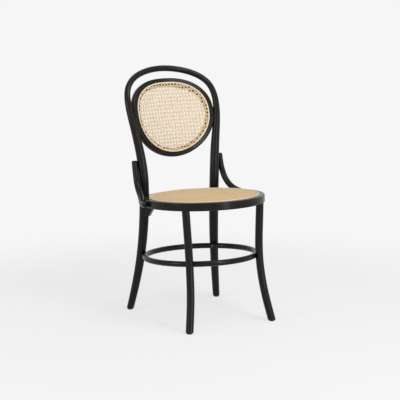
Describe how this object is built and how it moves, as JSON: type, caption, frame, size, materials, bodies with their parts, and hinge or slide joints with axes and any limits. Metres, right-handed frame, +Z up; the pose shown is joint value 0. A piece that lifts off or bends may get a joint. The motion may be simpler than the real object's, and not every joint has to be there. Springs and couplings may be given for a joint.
{
  "type": "bentwood bistro chair",
  "caption": "Bentwood side chair with a round caned seat, a caned oval ring in its hooped back, curved side braces and a ring round the legs.",
  "frame": {"origin": "centre of the bounding box at floor level", "axes": "+Z up from the floor, -Y towards the front of the seat, +X to the sitter's left"},
  "size_m": [0.475, 0.5437, 0.8898],
  "materials": {
    "black_beech": "black satin lacquer on steam-bent beech",
    "back_cane": "natural woven cane webbing",
    "seat_cane": "close woven cane, honey coloured",
    "reed": "split reed spline",
    "steel": "blackened and worn steel",
    "glide": "black plastic"
  },
  "bodies": {
    "root": {"back_bow": "black_beech", "back_ring": "black_beech", "back_cane": "back_cane", "back_spline": "reed", "back_ring_screws": "steel", "back_screw_plugs": "black_beech", "seat_ring": "black_beech", "seat_cane": "seat_cane", "seat_spline": "reed", "front_leg_left": "black_beech", "front_leg_right": "black_beech", "tenon_lock_screws": "steel", "leg_ring": "black_beech", "leg_ring_screws": "steel", "side_brace_left": "black_beech", "side_brace_right": "black_beech", "brace_top_screws": "steel", "brace_seat_screws": "steel", "rear_block_left": "black_beech", "rear_block_right": "black_beech", "block_screws": "steel", "seat_bolts": "steel", "seat_bolt_washers": "steel", "seat_bolt_nuts": "steel", "foot_glides": "glide", "glide_nails": "steel"}
  },
  "joints": []
}
